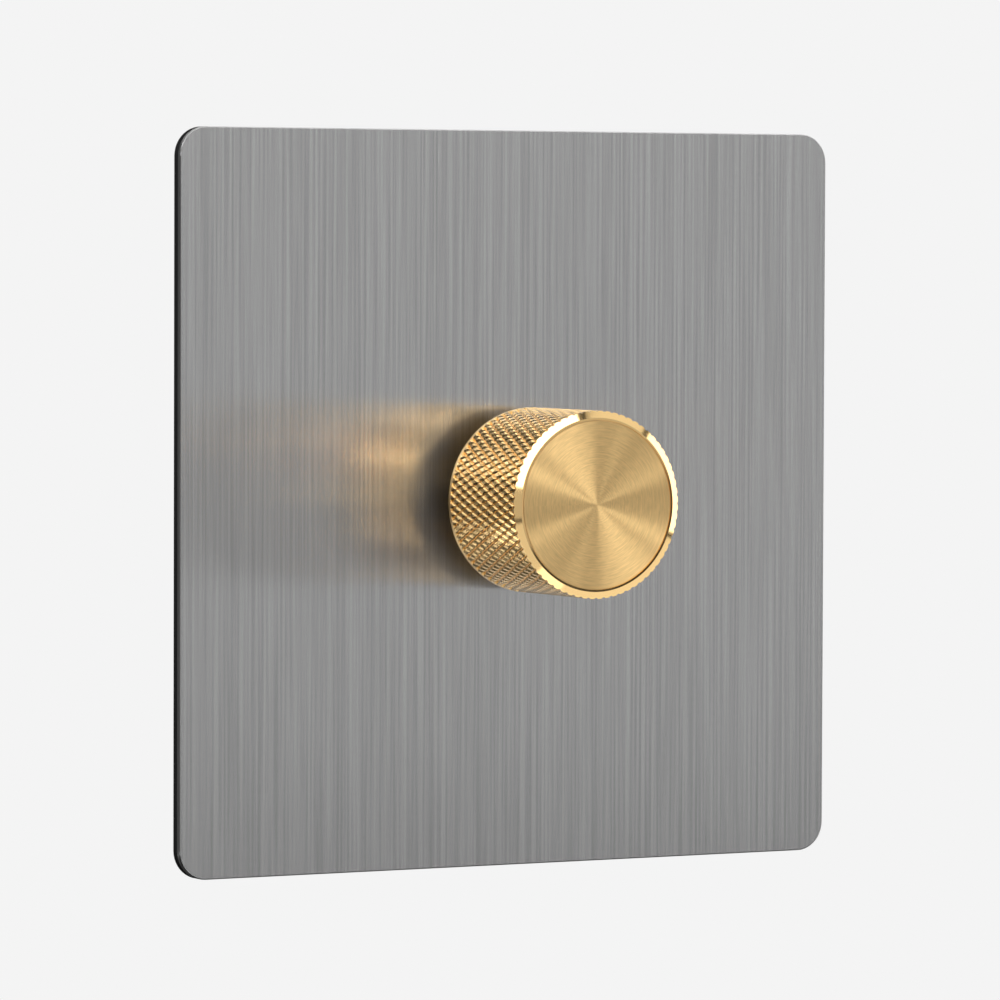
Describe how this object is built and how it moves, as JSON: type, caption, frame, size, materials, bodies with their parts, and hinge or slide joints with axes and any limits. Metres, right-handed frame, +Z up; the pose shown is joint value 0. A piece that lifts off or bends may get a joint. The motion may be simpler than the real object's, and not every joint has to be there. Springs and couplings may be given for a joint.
{
  "type": "rotary dimmer switch",
  "caption": "Square flat wall plate in brushed steel with a knurled brass dimmer knob that turns and presses, and its control module behind.",
  "frame": {"origin": "centre of the plate on the wall plane, where the black gasket's back face meets the wall", "axes": "+X to the right as the user faces the plate, +Y into the wall, +Z up"},
  "size_m": [0.089, 0.0521, 0.089],
  "materials": {
    "brushed_steel": "satin, brushed in upright lines",
    "black_plastic": "fine matt moulding",
    "spring_steel": "bright rolled",
    "zinc_steel": "zinc plated, dull",
    "zinc_screw": "bright zinc plated",
    "turned_brass": "turned face, polished rim, sharp knurl",
    "blackened_steel": "black oxide",
    "shaft_steel": "ground",
    "bush_alloy": "die cast, machined",
    "nut_nickel": "nickel plated",
    "black_housing": "moulded, matt",
    "tin_can": "tin plated",
    "carbon_track": "printed carbon on laminate",
    "tinned_copper": "tinned",
    "white_plastic": "natural acetal",
    "contact_copper": "rolled copper alloy",
    "blue_plastic": "moulded",
    "contact_silver": "silver plated",
    "circuit_board": "green solder resist",
    "capacitor_film": "box moulding",
    "capacitor_sleeve": "shrunk sleeve",
    "fuse_body": "ceramic",
    "chip_body": "moulded",
    "ferrite": "epoxy coated",
    "winding_wire": "enamelled copper",
    "sink_aluminium": "mill finish",
    "thermal_pad": "silicone sheet",
    "transistor_body": "moulded, with a tinned tab",
    "terminal_plastic": "moulded, glass filled",
    "terminal_brass": "sawn and drilled"
  },
  "bodies": {
    "base": {"face_plate": "brushed_steel", "plate_gasket": "black_plastic", "plate_clips": "spring_steel", "mounting_yoke": "zinc_steel", "box_screws": "zinc_screw", "control_bush": "bush_alloy", "bush_nut": "nut_nickel", "lock_washer": "nut_nickel", "housing_front": "black_housing", "housing_rear": "black_housing", "housing_screws": "zinc_screw", "pot_housing": "tin_can", "pot_track": "carbon_track", "pot_legs": "tinned_copper", "switch_housing": "blue_plastic", "switch_contacts": "contact_silver", "return_spring": "spring_steel", "main_board": "circuit_board", "film_capacitor": "capacitor_film", "reservoir_capacitor": "capacitor_sleeve", "thermal_fuse": "fuse_body", "control_chip": "chip_body", "choke_core": "ferrite", "choke_winding": "winding_wire", "heat_sink": "sink_aluminium", "thermal_pad": "thermal_pad", "power_transistors": "transistor_body", "transistor_screws": "zinc_screw", "trimmer_body": "blue_plastic", "terminal_block": "terminal_plastic", "terminal_pillars": "terminal_brass", "terminal_screws": "zinc_screw", "earth_terminal": "terminal_brass", "earth_screw": "zinc_screw"},
    "rotor": {"wiper_disc": "white_plastic", "wiper_contact": "contact_copper"},
    "knob": {"knob_body": "turned_brass", "grub_screw": "blackened_steel", "control_shaft": "shaft_steel", "retaining_ring": "spring_steel"},
    "plunger": {"switch_plunger": "white_plastic", "contact_bridge": "contact_copper"},
    "trimmer": {"trimmer_rotor": "white_plastic"}
  },
  "joints": [
    {"name": "knob_turn", "type": "hinge", "parent": "base", "child": "rotor", "pos_m": [0, 0, 0], "axis": [0, 1, 0], "range_deg": [0, 270]},
    {"name": "knob_push", "type": "slide", "parent": "rotor", "child": "knob", "axis": [0, 1, 0], "range_m": [0, 0.0015], "stiffness_N_per_m": 1500, "springref_m": -0.002},
    {"name": "plunger_slide", "type": "slide", "parent": "base", "child": "plunger", "axis": [0, 1, 0], "range_m": [0, 0.0015], "deforming": ["return_spring"]},
    {"name": "trimmer_turn", "type": "hinge", "parent": "base", "child": "trimmer", "pos_m": [-0.017, 0.025, -0.006], "axis": [0, 1, 0], "range_deg": [-120, 120]}
  ],
  "couplings": [
    {"joint": "plunger_slide", "follows": "knob_push", "ratio": 1}
  ]
}
